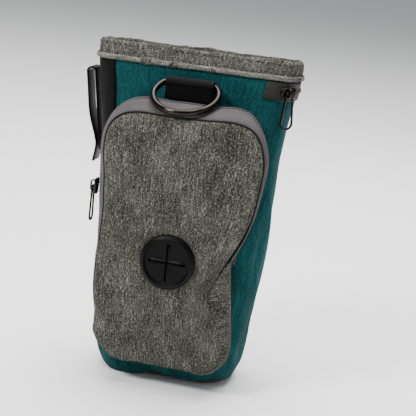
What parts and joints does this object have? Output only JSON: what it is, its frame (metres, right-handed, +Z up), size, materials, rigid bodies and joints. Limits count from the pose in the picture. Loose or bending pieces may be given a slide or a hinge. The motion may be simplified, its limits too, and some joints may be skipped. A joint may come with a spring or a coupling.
{
  "type": "treat pouch",
  "caption": "Belt-worn dog treat pouch with a magnetic mouth, zipped front pocket, slit bag dispenser, D-ring, belt clip and belt loop.",
  "frame": {"origin": "middle of the base, on the surface that the pouch stands on", "axes": "+Z up through the mouth, -Y out of the front with its pocket, +X towards the end with the second zipper"},
  "size_m": [0.1133, 0.0758, 0.177],
  "materials": {
    "teal_fabric": "melange weave, matt",
    "grey_fabric": "melange twill, matt",
    "lining_fabric": "plain weave, slight sheen",
    "zip_tape": "ribbed tape",
    "zip_coil": "satin nylon",
    "edge_piping": "matt",
    "webbing": "woven polyester",
    "rubber": "matt moulded",
    "board": "matt",
    "magnet": "plated",
    "bright_metal": "satin",
    "dark_metal": "polished gunmetal"
  },
  "bodies": {
    "pouch": {"front_panel": "teal_fabric", "left_gusset": "teal_fabric", "right_gusset": "teal_fabric", "base_panel": "teal_fabric", "base_board": "board", "lining_front": "lining_fabric", "lining_left": "lining_fabric", "lining_right": "lining_fabric", "lining_base": "lining_fabric", "cuff_front": "grey_fabric", "stiffener_front": "board", "magnet_front": "magnet", "pocket_panel": "grey_fabric", "pocket_gusset": "grey_fabric", "zip_tape_front": "zip_tape", "zip_tape_rear": "zip_tape", "zip_coil_front": "zip_coil", "zip_coil_rear": "zip_coil", "zip_stop": "bright_metal", "pocket_piping": "edge_piping", "dispenser_bezel": "rubber", "dispenser_ring": "rubber", "ring_loop": "webbing", "side_strip": "webbing", "clip_plate": "dark_metal", "clip_rivet_1": "bright_metal", "clip_rivet_2": "bright_metal", "side_zip_tape_upper": "zip_tape", "side_zip_tape_lower": "zip_tape", "side_zip_coil": "zip_coil", "side_zip_tab": "zip_tape"},
    "back_wall": {"back_panel": "teal_fabric", "lining_back": "lining_fabric", "cuff_back": "grey_fabric", "stiffener_back": "board", "magnet_back": "magnet", "rear_pocket": "teal_fabric", "rear_zip_tape_upper": "zip_tape", "rear_zip_tape_lower": "zip_tape", "rear_zip_coil": "zip_coil", "belt_loop": "webbing", "seam_piping_left": "webbing", "seam_piping_right": "webbing"},
    "ring": {"d_ring": "dark_metal"},
    "pocket_slider": {"pocket_slider": "dark_metal"},
    "pocket_pull": {"pocket_pull": "dark_metal"},
    "side_slider": {"side_slider": "dark_metal"},
    "side_pull": {"side_pull": "dark_metal"},
    "clip_leg": {"clip_leg": "dark_metal"},
    "flap_1": {"dispenser_flap_1": "rubber"},
    "flap_2": {"dispenser_flap_2": "rubber"},
    "flap_3": {"dispenser_flap_3": "rubber"},
    "flap_4": {"dispenser_flap_4": "rubber"}
  },
  "joints": [
    {"name": "mouth_open", "type": "hinge", "parent": "pouch", "child": "back_wall", "pos_m": [0, 0.019, 0.002], "axis": [-1, 0, 0], "range_deg": [0, 9]},
    {"name": "ring_swing", "type": "hinge", "parent": "pouch", "child": "ring", "pos_m": [0, -0.0172, 0.16], "axis": [-1, 0, 0], "range_deg": [0, 108]},
    {"name": "pocket_slider_run", "type": "slide", "parent": "pouch", "child": "pocket_slider", "axis": [-0.0675, 0.0281, 0.9973], "range_m": [-0.018, 0.014]},
    {"name": "pocket_pull_swing", "type": "hinge", "parent": "pocket_slider", "child": "pocket_pull", "pos_m": [-0.04325, -0.02836, 0.103], "axis": [0, 1, 0], "range_deg": [0, 100]},
    {"name": "side_slider_run", "type": "hinge", "parent": "pouch", "child": "side_slider", "pos_m": [0.04161, -0.00256, 0.1619], "axis": [0, 0, 1], "range_deg": [0, 50]},
    {"name": "side_pull_swing", "type": "hinge", "parent": "side_slider", "child": "side_pull", "pos_m": [0.05063, -0.01409, 0.1619], "axis": [-0.788, -0.6157, 0], "range_deg": [0, 100]},
    {"name": "clip_spring", "type": "hinge", "parent": "pouch", "child": "clip_leg", "pos_m": [-0.05694, 0, 0.16066], "axis": [0, 1, 0], "range_deg": [0, 8], "stiffness_Nm_per_rad": 1},
    {"name": "flap_bend_1", "type": "hinge", "parent": "pouch", "child": "flap_1", "pos_m": [0.00808, -0.04481, 0.07758], "axis": [-0.7071, 0, 0.7071], "range_deg": [-25, 35], "stiffness_Nm_per_rad": 0.002},
    {"name": "flap_bend_2", "type": "hinge", "parent": "pouch", "child": "flap_2", "pos_m": [0.00808, -0.04481, 0.06842], "axis": [0.7071, 0, 0.7071], "range_deg": [-25, 35], "stiffness_Nm_per_rad": 0.002},
    {"name": "flap_bend_3", "type": "hinge", "parent": "pouch", "child": "flap_3", "pos_m": [-0.00108, -0.04481, 0.06842], "axis": [0.7071, 0, -0.7071], "range_deg": [-25, 35], "stiffness_Nm_per_rad": 0.002},
    {"name": "flap_bend_4", "type": "hinge", "parent": "pouch", "child": "flap_4", "pos_m": [-0.00108, -0.04481, 0.07758], "axis": [-0.7071, 0, -0.7071], "range_deg": [-25, 35], "stiffness_Nm_per_rad": 0.002}
  ]
}
